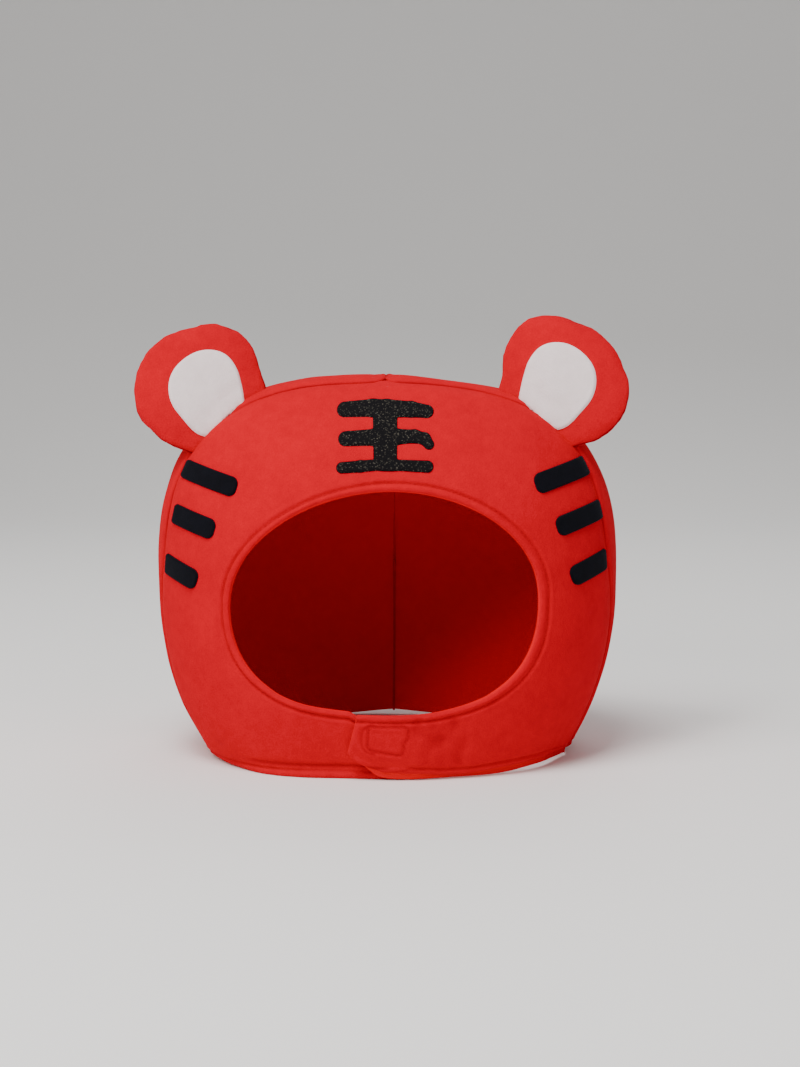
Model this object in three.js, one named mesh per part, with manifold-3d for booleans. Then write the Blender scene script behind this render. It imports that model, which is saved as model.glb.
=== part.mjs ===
// A padded plush tiger hat: a hood with a wide face opening, a chin strap whose two ends overlap,
// two round ears, three stripes on each cheek and a barred mark on the forehead.
// Millimetres. +Z is up, the face opening looks along -Y, and +X is the wearer's left.
// The hem rests on Z = 0 and the ear line, where the hood is widest, is near Y = 0.

import * as THREE from "three";
import { mergeVertices } from "three/addons/utils/BufferGeometryUtils.js";
import Module from "manifold-3d";

const wasm = await Module();
wasm.setup();

// Hood form: outside sizes of the soft shell.
const crownWidth = 299;
const crownHeight = 249;
const frontReach = 117;
const backReach = 119;
const widestHeight = 122;
const fullestFrontHeight = 88;
const fullestBackHeight = 118;
const neckWidth = 234;
const neckFrontReach = 106;
const neckBackReach = 103;
const backDrop = 44;
const ridgeReach = 52;

// Roundness of the form: 2 is an ellipse, and more is squarer.
const sideDome = 2.75;
const frontDome = 2.5;
const backDome = 2.2;
const taperPower = 2.5;
const dropPower = 1.3;
const frontRoundness = 2.45;
const backRoundness = 2.15;

// Padded cloth and the seams that join its pieces.
const wall = 5;
const strapWall = 3.6;
const seamGap = 0.6;
const seamInset = 11;
const seamTuck = 8;
const seamTuckTop = 155;
const seamTuckSpan = 70;
const ridgeInset = 9;
const stitchInset = 4.8;
const hemCurl = 6.5;
const dentDepth = 4;
const dentSpread = 34;

// Face opening, in the front view.
const faceWidth = 189;
const faceHeight = 134;
const faceCentreHeight = 108;
const faceAcross = 1.5;
const browLean = 0.075;
const browRoundness = 1.95;
const jawRoundness = 2.6;

// Chin strap: the wearer's left end lies over the right one, on a hook-and-loop patch whose middle
// is a share of the strap's height up.
const tabReach = 22.5;
const tabCorner = 26;
const underCorner = 13;
const underReach = 17;
const strapRamp = 26;
const tabLift = 4.5;
const patchWidth = 25;
const patchHeight = 18;
const patchThickness = 1.6;
const patchUp = 0.51;
const layGap = 0.4;

// Ears: stuffed cloth discs, not quite round, that stand on the crown close behind the front seam.
const earRadius = 40;
const earThickness = 15;
const earRim = 5;
const earSetBack = 9;
const earTurnIn = 14;
const earLeanBack = 4;
const innerEarRadius = 23;
const innerEarInward = 4.4;
const innerEarDrop = 8.6;
const applique = 1.2;

// Cheek stripes.
const stripeWidth = 11.4;
const stripeLength = 38;

// Forehead mark: three bars on a stem. It stands a share of the way up from the opening to the seam.
const markWidth = 59;
const markHeight = 34;
const markBar = 8.4;
const markStem = 13.6;
const markAcross = 2.3;
const markUp = 0.477;

// Turned and topstitched edge: shares of stitchInset along, and of the wall sunk from each face.
const turnedEdge = [
  { along: 0, outer: 0.3, inner: 0.3 },
  { along: 0.22, outer: 0.08, inner: 0.08 },
  { along: 0.6, outer: 0, inner: 0 },
  { along: 1, outer: 0.24, inner: 0.16 },
  { along: 1.5, outer: 0, inner: 0 },
];

// Sewn edge, drawn in where two pieces meet.
const sewnEdge = [
  { along: 0, outer: 0.36, inner: -0.1 },
  { along: 0.22, outer: 0.26, inner: -0.05 },
  { along: 0.6, outer: 0.1, inner: 0 },
  { along: 1, outer: 0.03, inner: 0 },
  { along: 1.5, outer: 0, inner: 0 },
];

// Stretches of the hem that curl up off the table: degrees from the front, towards the wearer's left,
// and a share of hemCurl.
const hemLifts = [
  { at: 58, span: 52, rise: 1 },
  { at: 180, span: 24, rise: 0.45 },
];

// Soft dents: shares of half the crown's width, of the front or back reach, of the crown's height,
// of dentDepth and of dentSpread.
const dents = [
  { across: 0.3, along: -0.16, up: 0.985, depth: 1, spread: 0.76 },
  { across: -0.74, along: -0.8, up: 0.43, depth: 0.4, spread: 0.35 },
  { across: -0.12, along: 0.9, up: 0.3, depth: 0.62, spread: 1 },
];

// Stripes in the front view: height at the seam as a share of the crown's height, clear of the seam as a
// share of stripeWidth, length from the seam as a share of stripeLength, and slope in degrees.
const stripes = [
  { name: "right_upper", side: -1, up: 0.749, clear: 0.36, length: 1.1, slope: 15.7 },
  { name: "right_middle", side: -1, up: 0.64, clear: 0.56, length: 0.94, slope: 16.2 },
  { name: "right_lower", side: -1, up: 0.512, clear: 0.44, length: 0.77, slope: 19.9 },
  { name: "left_upper", side: 1, up: 0.756, clear: 0.17, length: 0.95, slope: 17.6 },
  { name: "left_middle", side: 1, up: 0.647, clear: 0.16, length: 0.83, slope: 17.9 },
  { name: "left_lower", side: 1, up: 0.524, clear: 0.12, length: 0.71, slope: 21.3 },
];

// Bars of the mark from the top down: shares of markHeight up, of half of markWidth across and of markBar.
const bars = [
  { up: 1, right: 0.98, left: 0.98, thick: 1.08, arch: 0.4, hook: 0 },
  { up: 0.52, right: 0.96, left: 0.98, thick: 0.94, arch: 0.1, hook: 0.9 },
  { up: 0, right: 1, left: 0.98, thick: 0.8, arch: 0.1, hook: 0 },
];

// Ear centres as shares of half the crown's width and of its height, and the lean from upright in degrees.
const ears = [
  { name: "right", side: -1, across: 0.781, up: 0.948, lean: 46 },
  { name: "left", side: 1, across: 0.757, up: 0.965, lean: 48 },
];

// Outlines of an ear and of its inner patch: shares of their radii at even turns, from the ear's top
// round towards its outer side.
const earOutline = [0.9, 0.93, 0.99, 1.03, 1.055, 1.06, 1.055, 1.035, 1, 1.065, 1.035, 0.935];
const innerEarOutline = [1.125, 1.2, 1.2, 1.17, 1.3, 1.24, 1.08, 0.8, 0.72, 0.81, 0.98, 1.07];

const materials = {
  plush: new THREE.MeshStandardMaterial({ color: 0xd9171b, roughness: 0.95, metalness: 0 }),
  white: new THREE.MeshStandardMaterial({ color: 0xe9dfde, roughness: 0.95, metalness: 0 }),
  black: new THREE.MeshStandardMaterial({ color: 0x17151a, roughness: 0.8, metalness: 0 }),
  fastener: new THREE.MeshStandardMaterial({ color: 0xb51216, roughness: 0.9, metalness: 0 }),
};

const radians = THREE.MathUtils.degToRad;
const degrees = THREE.MathUtils.radToDeg;
const smooth = (share) => THREE.MathUtils.smoothstep(share, 0, 1);
const point = (x, y, z) => new THREE.Vector3(x, y, z);

// The form

function reachAt(height, full, atNeck, fullHeight, top, dome) {
  if (height >= fullHeight) {
    const share = Math.min(1, (height - fullHeight) / (top - fullHeight));
    return full * (1 - share ** dome) ** (1 / dome);
  }
  return full - (full - atNeck) * ((fullHeight - height) / fullHeight) ** taperPower;
}

function sideAt(height) {
  return reachAt(height, crownWidth / 2, neckWidth / 2, widestHeight, crownHeight, sideDome);
}

function frontAt(height) {
  return reachAt(height, frontReach, neckFrontReach, fullestFrontHeight, crownHeight, frontDome);
}

function backAt(height) {
  return reachAt(height, backReach, neckBackReach, fullestBackHeight, crownHeight, backDome);
}

// How much of its height the crown keeps, behind the ridge of the front seam.
function keptHeight(y) {
  const share = THREE.MathUtils.clamp((y + ridgeReach) / (backReach + ridgeReach), 0, 1.2);
  return 1 - (backDrop / crownHeight) * share ** dropPower;
}

// Below 1 inside the form, and 1 on its outside.
function fill(p) {
  const height = p.z / keptHeight(p.y);
  if (height >= crownHeight) return Infinity;
  const across = Math.abs(p.x) / sideAt(height);
  if (p.y < 0) return across ** frontRoundness + (-p.y / frontAt(height)) ** frontRoundness;
  return across ** backRoundness + (p.y / backAt(height)) ** backRoundness;
}

// The last place from `near` towards `far` for which inside() holds.
function lastInside(near, far, inside) {
  let low = near;
  let high = far;
  for (let step = 0; step < 44; step++) {
    const middle = (low + high) / 2;
    if (inside(middle)) low = middle;
    else high = middle;
  }
  return low;
}

function alongToForm(from, direction) {
  const far = crownWidth + crownHeight + backReach;
  const reach = lastInside(0, far, (t) => fill(from.clone().addScaledVector(direction, t)) < 1);
  return from.clone().addScaledVector(direction, reach);
}

const core = point(0, 0, widestHeight);

function outward(p) {
  const radial = (q) => {
    const direction = q.clone().sub(core);
    const length = direction.length();
    return length / alongToForm(core, direction.normalize()).distanceTo(core);
  };
  const step = 0.6;
  const slope = (axis) => radial(p.clone().addScaledVector(axis, step)) - radial(p.clone().addScaledVector(axis, -step));
  const normal = point(slope(point(1, 0, 0)), slope(point(0, 1, 0)), slope(point(0, 0, 1))).normalize();
  normal.z *= smooth(p.z / (2 * stitchInset));
  return normal.normalize();
}

// Pushed out to the form: level with itself low down, and away from the core higher up.
function ontoForm(p) {
  const from = point(0, 0, Math.min(p.z, core.z));
  return alongToForm(from, p.clone().sub(from).normalize());
}

function frontPoint(x, z) {
  const y = -lastInside(0, 2 * frontReach, (t) => fill(point(x, -t, z)) < 1);
  return point(x, y, z);
}

function dentAt(p) {
  return dents.reduce((total, dent) => {
    const reach = dent.along < 0 ? frontReach : backReach;
    const centre = point((dent.across * crownWidth) / 2, dent.along * reach, dent.up * crownHeight);
    return total + dent.depth * dentDepth * Math.exp(-((p.distanceTo(centre) / (dent.spread * dentSpread)) ** 2));
  }, 0);
}

const strapHeight = faceCentreHeight - faceHeight / 2;

// The hem's curl, which follows the form up and fades.
function settle(p, extra = 0) {
  const facing = degrees(Math.atan2(p.x, -p.y));
  const rise = hemLifts.reduce((total, lift) => {
    const off = Math.abs(((facing - lift.at + 540) % 360) - 180) / lift.span;
    return total + (off < 1 ? lift.rise * hemCurl * Math.cos((off * Math.PI) / 2) ** 2 : 0);
  }, extra);
  const raised = p.z + rise * (1 - smooth(p.z / (strapHeight + stitchInset)));
  const along = p.y < 0 ? frontAt : backAt;
  return p.set((p.x * sideAt(raised)) / sideAt(p.z), (p.y * along(raised)) / along(p.z), raised);
}

function sinkAt(edge, distance) {
  const along = distance / stitchInset;
  const next = edge.findIndex((row) => row.along > along);
  if (next < 0) return { outer: 0, inner: 0 };
  const [a, b] = [edge[Math.max(0, next - 1)], edge[next]];
  const share = b.along > a.along ? (along - a.along) / (b.along - a.along) : 0;
  return {
    outer: THREE.MathUtils.lerp(a.outer, b.outer, share),
    inner: THREE.MathUtils.lerp(a.inner, b.inner, share),
  };
}

function deepest(sinks) {
  return {
    outer: Math.max(...sinks.map((sink) => sink.outer)),
    inner: Math.max(...sinks.map((sink) => sink.inner)),
  };
}

// Distances from an edge at which the cloth has a row of points.
const edgeRows = turnedEdge.map((row) => row.along);

// Closed bodies

// Points with an outer and an inner place, and faces that look outwards, as one closed body.
function bodyOf(places, faces) {
  const positions = [...places.map((place) => place.outer), ...places.map((place) => place.inner)];
  const count = places.length;
  const index = [];
  const edges = new Set();
  const triangles = [];
  for (const face of faces) {
    for (let corner = 1; corner + 1 < face.length; corner++) {
      const triangle = [face[0], face[corner], face[corner + 1]];
      if (new Set(triangle).size === 3) triangles.push(triangle);
    }
  }
  for (const [a, b, c] of triangles) {
    index.push(a, b, c, a + count, c + count, b + count);
    for (const [from, to] of [[a, b], [b, c], [c, a]]) edges.add(`${from},${to}`);
  }
  for (const edge of edges) {
    const [from, to] = edge.split(",").map(Number);
    if (!edges.has(`${to},${from}`)) index.push(to, from, from + count, to, from + count, to + count);
  }
  const geometry = new THREE.BufferGeometry();
  geometry.setAttribute("position", new THREE.Float32BufferAttribute(positions.flatMap((p) => [p.x, p.y, p.z]), 3));
  geometry.setIndex(index);
  return geometry;
}

// Faces between neighbouring rows of a grid. `flip` turns them round.
function gridFaces(rows, columns, flip, at = (row, column) => row * columns + column) {
  const faces = [];
  for (let row = 0; row + 1 < rows; row++) {
    for (let column = 0; column + 1 < columns; column++) {
      const face = [at(row, column), at(row, column + 1), at(row + 1, column + 1), at(row + 1, column)];
      faces.push(flip ? face.reverse() : face);
    }
  }
  return faces;
}

function solidOf(geometry) {
  const bare = geometry.clone();
  bare.deleteAttribute("normal");
  bare.deleteAttribute("uv");
  const merged = mergeVertices(bare, 1e-4);
  const vertProperties = new Float32Array(merged.attributes.position.array);
  return new wasm.Manifold(new wasm.Mesh({ numProp: 3, vertProperties, triVerts: new Uint32Array(merged.index.array) }));
}

// What a cutter leaves of a solid, without the crumbs in its seams' grooves.
function cutGeometry(solid, cutter) {
  const pieces = solid.subtract(cutter).decompose();
  const mesh = pieces.reduce((largest, piece) => (piece.volume() > largest.volume() ? piece : largest)).getMesh();
  const geometry = new THREE.BufferGeometry();
  geometry.setAttribute("position", new THREE.BufferAttribute(mesh.vertProperties, 3));
  geometry.setIndex(new THREE.BufferAttribute(mesh.triVerts, 1));
  return geometry;
}

function meshOf(name, geometry, material) {
  const mesh = new THREE.Mesh(geometry, material);
  mesh.name = name;
  return mesh;
}

// The front panel, laid out by turns round the face opening.
// A turn of 0 is straight down to the chin, 90 the wearer's right, 180 up and 270 the wearer's left.

function faceAt(turn, radius) {
  return { x: -radius * Math.sin(turn), z: faceCentreHeight - radius * Math.cos(turn) };
}

function openingRadius(turn) {
  return lastInside(0, faceWidth, (radius) => {
    const { x, z } = faceAt(turn, radius);
    const up = z - faceCentreHeight;
    const across = x - faceAcross - browLean * Math.max(0, up);
    const roundness = up < 0 ? jawRoundness : browRoundness;
    return Math.abs((2 * across) / faceWidth) ** roundness + Math.abs((2 * up) / faceHeight) ** roundness < 1;
  });
}

// The front seam, which runs nearer the widest line of the hood low down.
function seamHalfWidth(height) {
  const full = crownWidth / 2 - seamInset;
  const atNeck = neckWidth / 2 - seamInset;
  const tuck = seamTuck * smooth((seamTuckTop - height) / seamTuckSpan);
  return reachAt(height, full, atNeck, widestHeight, crownHeight - ridgeInset, sideDome) + tuck;
}

// Each strap end has a rounded lower corner, where its edge leaves the hem.
function strapEdge(past, corner) {
  const inCorner = THREE.MathUtils.clamp(past + corner, 0, corner);
  return corner - Math.sqrt(corner ** 2 - inCorner ** 2);
}

function outlineRadius(turn) {
  return lastInside(0, crownWidth + crownHeight, (radius) => {
    const { x, z } = faceAt(turn, radius);
    const low = turn > Math.PI ? strapEdge(-x - tabReach, tabCorner) : strapEdge(x - underReach, underCorner);
    return z > low && z < crownHeight - ridgeInset && Math.abs(x) < seamHalfWidth(z);
  });
}

// The turns at which the panel's lower corner and the strap's two ends meet the hem.
const cornerTurn = Math.atan2(seamHalfWidth(0), faceCentreHeight);
const tabTurn = Math.atan2(tabReach, faceCentreHeight);
const underTurn = Math.atan2(underReach, faceCentreHeight);
const wholeTurn = 2 * Math.PI;

function seamPoint(turn) {
  const { x, z } = faceAt(turn, outlineRadius(turn));
  return frontPoint(x, z);
}

// Places along a line of close points: rows near its start, then even steps to its end.
function stations(line, steps) {
  const lengths = [0];
  for (let i = 1; i < line.length; i++) lengths.push(lengths[i - 1] + line[i].distanceTo(line[i - 1]));
  const whole = lengths.at(-1);
  const near = edgeRows.map((row) => row * stitchInset);
  const start = near.at(-1);
  const wanted = [...near];
  for (let step = 1; step <= steps; step++) wanted.push(start + ((whole - start) * step) / steps);
  return wanted.map((length) => {
    const next = Math.max(1, lengths.findIndex((reached) => reached >= length - 1e-9));
    const share = (length - lengths[next - 1]) / (lengths[next] - lengths[next - 1]);
    return { point: line[next - 1].clone().lerp(line[next], share), place: next - 1 + share };
  });
}

const seamSteps = 15;
const fineSteps = 300;

function seamTurns() {
  const turnAt = (place) => cornerTurn + ((Math.PI - cornerTurn) * place) / fineSteps;
  const line = Array.from({ length: fineSteps + 1 }, (_, i) => seamPoint(turnAt(i)));
  return stations(line, seamSteps).map((station) => turnAt(station.place));
}

const seamStations = seamTurns();

// Turns along a strap end, from its end to the seam's corner.
function strapTurns(reach, steps) {
  const corner = seamHalfWidth(0);
  const near = edgeRows.slice(0, -1).map((row) => row * stitchInset - reach);
  const places = [...near];
  for (let step = 0; step < steps; step++) {
    places.push(edgeRows.at(-1) * stitchInset - reach + ((corner + reach - edgeRows.at(-1) * stitchInset) * step) / steps);
  }
  return places.map((place) => Math.atan2(place, faceCentreHeight));
}

function panelColumns() {
  const strapSteps = 9;
  const under = strapTurns(underReach, strapSteps);
  const over = strapTurns(tabReach, strapSteps).map((turn) => wholeTurn - turn);
  const right = seamStations;
  const left = seamStations.slice(0, -1).map((turn) => wholeTurn - turn);
  return [...under, ...right, ...left.reverse(), ...over.reverse()];
}

// The strap's two layers part evenly about the form where they overlap.
const layerStep = strapWall + patchThickness + 2 * layGap;

function layerShift(turn, x) {
  if (Math.cos(turn) <= 0) return 0;
  const under = turn < Math.PI;
  const past = under ? tabReach + stitchInset + x : underReach + stitchInset - x;
  return (under ? -1 : 1) * (layerStep / 2) * smooth(1 + past / strapRamp);
}

function wallAt(turn) {
  const fromChin = Math.min(Math.abs(turn), Math.abs(wholeTurn - turn));
  return THREE.MathUtils.lerp(strapWall, wall, smooth(fromChin / cornerTurn));
}

// How far the panel's outer and inner faces lie off the form at a turn and radius.
function panelOffsets(turn, radius, endDistance) {
  const outline = outlineRadius(turn);
  const fromChin = Math.min(Math.abs(turn), Math.abs(wholeTurn - turn));
  const outerEdge = fromChin < cornerTurn - 1e-6 ? turnedEdge : sewnEdge;
  const sink = deepest([
    sinkAt(turnedEdge, radius - openingRadius(turn)),
    sinkAt(outerEdge, outline - radius),
    sinkAt(turnedEdge, endDistance),
  ]);
  const { x, z } = faceAt(turn, radius);
  const shift = layerShift(turn, x) - dentAt(frontPoint(x, z));
  const thick = wallAt(turn);
  return { outer: shift - sink.outer * thick, inner: shift - (1 - sink.inner) * thick };
}

function lifted(turn, x) {
  return turn > Math.PI && Math.cos(turn) > 0 ? tabLift * smooth(1 + (underReach - x) / strapRamp) : 0;
}

function frontPanel(grow) {
  const turns = panelColumns();
  const middleRows = 4;
  const places = [];
  turns.forEach((turn) => {
    const inner = openingRadius(turn);
    const outer = outlineRadius(turn);
    const band = Math.min(stitchInset, (outer - inner) / 4);
    const radii = edgeRows.map((row) => inner + row * band);
    const [from, to] = [radii.at(-1), outer - edgeRows.at(-1) * band];
    for (let row = 1; row < middleRows; row++) radii.push(from + ((to - from) * row) / middleRows);
    radii.push(...edgeRows.map((row) => outer - row * band).reverse());
    const endTurn = turn > Math.PI ? wholeTurn + tabTurn - turn : turn + underTurn;
    for (const radius of radii) {
      const { x, z } = faceAt(turn, radius);
      const base = frontPoint(x, z);
      const normal = outward(base);
      const off = panelOffsets(turn, radius, endTurn * radius);
      const extra = lifted(turn, x);
      places.push({
        outer: settle(base.clone().addScaledVector(normal, off.outer + grow), extra),
        inner: settle(base.clone().addScaledVector(normal, off.inner), extra),
      });
    }
  });
  return bodyOf(places, gridFaces(turns.length, places.length / turns.length, true));
}

// The crown: two halves that meet at the centre seam, from the front seam over the top to the back hem.

function centreLine() {
  const line = [];
  for (let i = 0; i < fineSteps; i++) line.push(ontoForm(point(0, backReach, (core.z * i) / fineSteps)));
  const top = seamPoint(Math.PI);
  const end = Math.atan2(top.z - core.z, top.y + seamGap);
  for (let i = 0; i <= fineSteps; i++) {
    const angle = (end * i) / fineSteps;
    line.push(alongToForm(core, point(0, Math.cos(angle), Math.sin(angle))));
  }
  return line;
}

const centreStations = stations(centreLine(), seamSteps).map((station) => station.point);

function crownHalf(side, grow) {
  const inward = edgeRows.map((row) => row * stitchInset);
  const middleColumns = 8;
  const columns = 2 * edgeRows.length + middleColumns - 1;
  const rows = seamStations.length;
  const gap = Math.max(0, seamGap - 2 * grow);
  const places = [];
  seamStations.slice(0, -1).forEach((turn, row) => {
    const seam = seamPoint(turn);
    const centre = centreStations[row].clone();
    const start = point(Math.abs(seam.x), seam.y, seam.z);
    const across = centre.clone().sub(start);
    const whole = across.length();
    const band = Math.min(1, whole / (4 * inward.at(-1)));
    const steps = inward.map((distance) => gap + distance * band);
    const [from, to] = [steps.at(-1), whole - inward.at(-1) * band];
    for (let i = 1; i < middleColumns; i++) steps.push(from + ((to - from) * i) / middleColumns);
    steps.push(...inward.map((distance) => whole - distance * band).reverse());
    for (const step of steps) {
      const base = ontoForm(start.clone().addScaledVector(across, step / whole));
      places.push(crownPlace(base, side, step - gap, whole - step, grow));
    }
  });
  places.push(crownPlace(centreStations.at(-1).clone(), side, 0, 0, grow));
  const at = (row, column) => (row === rows - 1 ? places.length - 1 : row * columns + column);
  return bodyOf(places, gridFaces(rows, columns, side < 0, at));
}

function crownPlace(base, side, fromSeam, fromCentre, grow) {
  const normal = outward(base);
  const sink = deepest([
    sinkAt(sewnEdge, fromSeam),
    sinkAt(sewnEdge, fromCentre),
    sinkAt(turnedEdge, base.z),
  ]);
  base.x *= side;
  normal.x *= side;
  const shift = -dentAt(base);
  const place = {
    outer: base.clone().addScaledVector(normal, shift - sink.outer * wall + grow),
    inner: base.clone().addScaledVector(normal, shift - (1 - sink.inner) * wall),
  };
  for (const p of [place.outer, place.inner]) {
    p.x = side * Math.max(side * p.x, seamGap / 2 - grow);
    settle(p);
  }
  return place;
}

// The form as one solid, shrunk a little to lie inside the cloth.
function formSolid(shrink) {
  const rings = 20;
  const sectors = 36;
  const geometry = new THREE.SphereGeometry(1, sectors, rings);
  const position = geometry.attributes.position;
  for (let i = 0; i < position.count; i++) {
    const direction = point(position.getX(i), position.getZ(i), position.getY(i)).normalize();
    const place = alongToForm(core, direction);
    place.addScaledVector(direction, -shrink);
    position.setXYZ(i, place.x, place.y, place.z);
  }
  geometry.index.array.reverse();
  return solidOf(geometry);
}

// Ears

// From an ear's own frame, which faces -Y and stands along +Z, to the hat's.
function earFrame(ear) {
  const frame = new THREE.Group();
  const x = (ear.side * ear.across * crownWidth) / 2;
  const z = ear.up * crownHeight;
  const turn = Math.atan2(-x, faceCentreHeight - z);
  frame.position.set(x, seamPoint(turn < 0 ? turn + wholeTurn : turn).y + earSetBack, z);
  frame.rotation.set(radians(-earLeanBack), radians(ear.side * ear.lean), radians(-ear.side * earTurnIn), "YXZ");
  frame.updateMatrixWorld(true);
  return frame.matrixWorld;
}

// A smooth closed outline's share towards a place, measured from the outline's centre.
function outlineShare(shares, side, x, z) {
  const count = shares.length;
  const turns = ((Math.atan2(side * x, z) / wholeTurn) * count + count) % count;
  const first = Math.floor(turns);
  const t = turns - first;
  const [a, b, c, d] = [-1, 0, 1, 2].map((step) => shares[(first + step + count) % count]);
  return b + 0.5 * t * (c - a + t * (2 * a - 5 * b + 4 * c - d + t * (3 * (b - c) + d - a)));
}

// The ear's face: half of its thickness at a place measured from its centre.
function earHalfThickness(side, x, z) {
  const share = Math.min(1, Math.hypot(x, z) / (earRadius * outlineShare(earOutline, side, x, z)));
  return earRim / 2 + ((earThickness - earRim) / 2) * (1 - share ** 2.4);
}

function discFaces(sectors, rings) {
  const at = (ring, sector) => (ring === 0 ? 0 : 1 + (ring - 1) * sectors + (sector % sectors));
  return gridFaces(rings + 1, sectors + 1, true, at);
}

// The middle of an outline, then its rings from the middle out.
function outlinePlaces(shares, side, radius, centre, sectors, rings) {
  const places = [centre];
  for (const ring of rings) {
    for (let i = 0; i < sectors; i++) {
      const direction = point(Math.cos((wholeTurn * i) / sectors), 0, Math.sin((wholeTurn * i) / sectors));
      const reach = ring * radius * outlineShare(shares, side, direction.x, direction.z);
      places.push(centre.clone().addScaledVector(direction, reach));
    }
  }
  return places;
}

function earSolid(side, matrix) {
  const sectors = 32;
  const rings = [0.3, 0.55, 0.75, 0.9, 1];
  const places = outlinePlaces(earOutline, side, earRadius, point(0, 0, 0), sectors, rings);
  const sides = places.map((p) => {
    const half = earHalfThickness(side, p.x, p.z);
    return {
      outer: point(p.x, -half, p.z).applyMatrix4(matrix),
      inner: point(p.x, half, p.z).applyMatrix4(matrix),
    };
  });
  return solidOf(bodyOf(sides, discFaces(sectors, rings.length)));
}

function innerEarSolid(side, matrix) {
  const sectors = 36;
  const rings = [0.5, 0.8, 1];
  const centre = point(-side * innerEarInward, 0, -innerEarDrop);
  const places = outlinePlaces(innerEarOutline, side, innerEarRadius, centre, sectors, rings);
  const sides = places.map((p) => {
    const half = earHalfThickness(side, p.x, p.z) + layGap;
    return {
      outer: point(p.x, -half - applique, p.z).applyMatrix4(matrix),
      inner: point(p.x, -half, p.z).applyMatrix4(matrix),
    };
  });
  return solidOf(bodyOf(sides, discFaces(sectors, rings.length)));
}

// Flat trim that lies on the front panel, starting a little inside it so that it can be cut to fit.

function onPanel(x, z) {
  const base = frontPoint(x, z);
  const normal = outward(base);
  const turn = Math.atan2(-x, faceCentreHeight - z);
  const radius = Math.hypot(x, z - faceCentreHeight);
  const surface = panelOffsets(turn < 0 ? turn + wholeTurn : turn, radius, Infinity).outer;
  return {
    outer: base.clone().addScaledVector(normal, surface + layGap + applique),
    inner: base.clone().addScaledVector(normal, surface - wall / 4),
  };
}

function stripe(row) {
  const side = row.side;
  const height = row.up * crownHeight;
  const length = row.length * stripeLength;
  const slope = radians(row.slope);
  const [inX, inZ] = [-side * Math.cos(slope), -Math.sin(slope)];
  const start = { x: side * seamHalfWidth(height), z: height };
  const half = stripeWidth / 2;
  const lanes = [-1, -0.5, 0, 0.5, 1];
  const steps = 6;
  const tip = [0.4, 0.72, 0.92];
  const places = [];
  const alongs = Array.from({ length: steps + 1 }, (_, i) => ((length - half) * i) / steps);
  const spread = alongs.map(() => 1);
  for (const share of tip) {
    alongs.push(length - half + share * half);
    spread.push(Math.sqrt(1 - share ** 2));
  }
  alongs.forEach((along, i) => {
    for (const lane of lanes) {
      const off = lane * half * spread[i];
      const at = (t) => ({ x: start.x + inX * t + side * inZ * off, z: start.z + inZ * t + Math.cos(slope) * off });
      const seam = lastInside(half * 2, -half * 2, (t) => Math.abs(at(t).x) < seamHalfWidth(at(t).z) - seamGap);
      const from = seam + row.clear * stripeWidth;
      const { x, z } = at(from + ((length - from) * along) / length);
      places.push(onPanel(x, z));
    }
  });
  return solidOf(bodyOf(places, gridFaces(alongs.length, lanes.length, side < 0)));
}

// Across a bar: from one rounded tip over the stem to the other.
function barColumns(bar) {
  const half = markWidth / 2;
  const stem = markStem / 2;
  const wing = [1, 0.97, 0.88, 0.7, 0.4];
  const columns = wing.map((share) => -stem - (bar.right * half - stem) * share);
  columns.push(-stem, 0, stem, ...wing.map((share) => stem + (bar.left * half - stem) * share).reverse());
  return columns;
}

function barPoint(bar, x, lane) {
  const half = markWidth / 2;
  const reach = (x < 0 ? bar.right : bar.left) * half;
  const thick = (bar.thick * markBar) / 2;
  const past = Math.max(0, Math.abs(x) - (reach - thick));
  const height = Math.max(0.22, Math.sqrt(Math.max(0, 1 - (past / thick) ** 2)));
  const arch = bar.arch * markBar * (x / half) ** 2;
  const hook = x > 0 ? bar.hook * markBar * (x / reach) ** 6 : 0;
  const base = THREE.MathUtils.lerp(strapHeight + faceHeight, crownHeight - ridgeInset, markUp) + (bar.up - 0.5) * markHeight;
  return { x, z: base - arch - hook + lane * thick * height };
}

function foreheadMark() {
  const places = [];
  const faces = [];
  const add = ({ x, z }) => places.push(onPanel(x + markAcross, z)) - 1;
  const stems = bars.map((bar) => {
    const columns = barColumns(bar);
    const lanes = [1, 0, -1].map((lane) => columns.map((x) => add(barPoint(bar, x, lane))));
    faces.push(...gridFaces(lanes.length, columns.length, true, (row, column) => lanes[row][column]));
    const middle = (columns.length - 1) / 2;
    const pick = (lane) => [-1, 0, 1].map((step) => ({ id: lane[middle + step], at: columns[middle + step] }));
    return { bar, top: pick(lanes[0]), bottom: pick(lanes[2]) };
  });
  for (let i = 0; i + 1 < stems.length; i++) {
    const [upper, lower] = [stems[i], stems[i + 1]];
    const between = [1 / 3, 2 / 3].map((share) =>
      upper.bottom.map(({ at }) => {
        const from = barPoint(upper.bar, at, -1);
        const to = barPoint(lower.bar, at, 1);
        return add({ x: at, z: THREE.MathUtils.lerp(from.z, to.z, share) });
      }),
    );
    const rows = [upper.bottom.map(({ id }) => id), ...between, lower.top.map(({ id }) => id)];
    faces.push(...gridFaces(rows.length, 3, true, (row, column) => rows[row][column]));
  }
  return solidOf(bodyOf(places, faces));
}

// The hook-and-loop patch between the strap's layers.
function fastener() {
  const steps = 5;
  const lanes = 4;
  const places = [];
  for (let i = 0; i <= steps; i++) {
    for (let j = 0; j <= lanes; j++) {
      const x = patchWidth * (i / steps - 0.5);
      const z = patchUp * strapHeight + patchHeight * (j / lanes - 0.5);
      const base = frontPoint(x, z);
      const normal = outward(base);
      const under = -layerStep / 2 + layGap;
      places.push({
        outer: base.clone().addScaledVector(normal, under + patchThickness),
        inner: base.clone().addScaledVector(normal, under),
      });
    }
  }
  return bodyOf(places, gridFaces(steps + 1, lanes + 1, true));
}

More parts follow.
